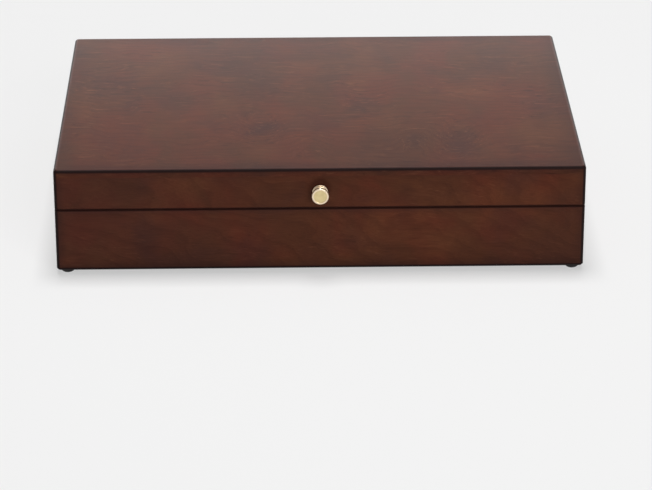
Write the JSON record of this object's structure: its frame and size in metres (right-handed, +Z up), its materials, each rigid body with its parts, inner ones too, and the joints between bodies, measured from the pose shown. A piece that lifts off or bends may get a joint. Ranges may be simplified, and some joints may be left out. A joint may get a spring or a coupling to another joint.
{
  "type": "silverware chest",
  "caption": "Low wooden chest for table silver: hinged lid with a small knob, cloth-lined base with a notched rail, and knife pockets in the lid.",
  "frame": {"origin": "centre of the closed chest's footprint, knob and hinge included, on the surface that the feet stand on", "axes": "+X to the chest's right as seen from the front, +Y from the knob towards the hinge, +Z up"},
  "size_m": [0.388, 0.298, 0.0824],
  "materials": {
    "wood": "satin lacquered dark red-brown mahogany or cherry",
    "cloth": "short-napped dark brown anti-tarnish cloth",
    "bottom_board": "stained board",
    "feet": "matt black",
    "hinge_metal": "brass, dulled",
    "knob_metal": "pale satin brass",
    "fixing_metal": "plated steel"
  },
  "bodies": {
    "base": {"base_front": "wood", "base_back": "wood", "base_left": "wood", "base_right": "wood", "base_bottom": "bottom_board", "feet": "feet", "floor_pad": "cloth", "base_liner_front": "cloth", "base_liner_back": "cloth", "base_liner_left": "cloth", "base_liner_right": "cloth", "flatware_rail": "cloth", "hinge_base_leaf": "hinge_metal", "hinge_pin": "hinge_metal"},
    "lid": {"lid_front": "wood", "lid_back": "wood", "lid_left": "wood", "lid_right": "wood", "lid_top": "wood", "lid_pad": "cloth", "lid_liner_front": "cloth", "lid_liner_back": "cloth", "lid_liner_left": "cloth", "lid_liner_right": "cloth", "knife_point_stop": "cloth", "knife_pocket_ribs": "cloth", "knife_pocket_panel": "cloth", "hinge_lid_leaf": "hinge_metal", "knob": "knob_metal", "knob_washer": "fixing_metal", "knob_screw": "fixing_metal"}
  },
  "joints": [
    {"name": "lid_hinge", "type": "hinge", "parent": "base", "child": "lid", "pos_m": [0, 0.14652, 0.0513], "axis": [-1, 0, 0], "range_deg": [0, 98]}
  ]
}
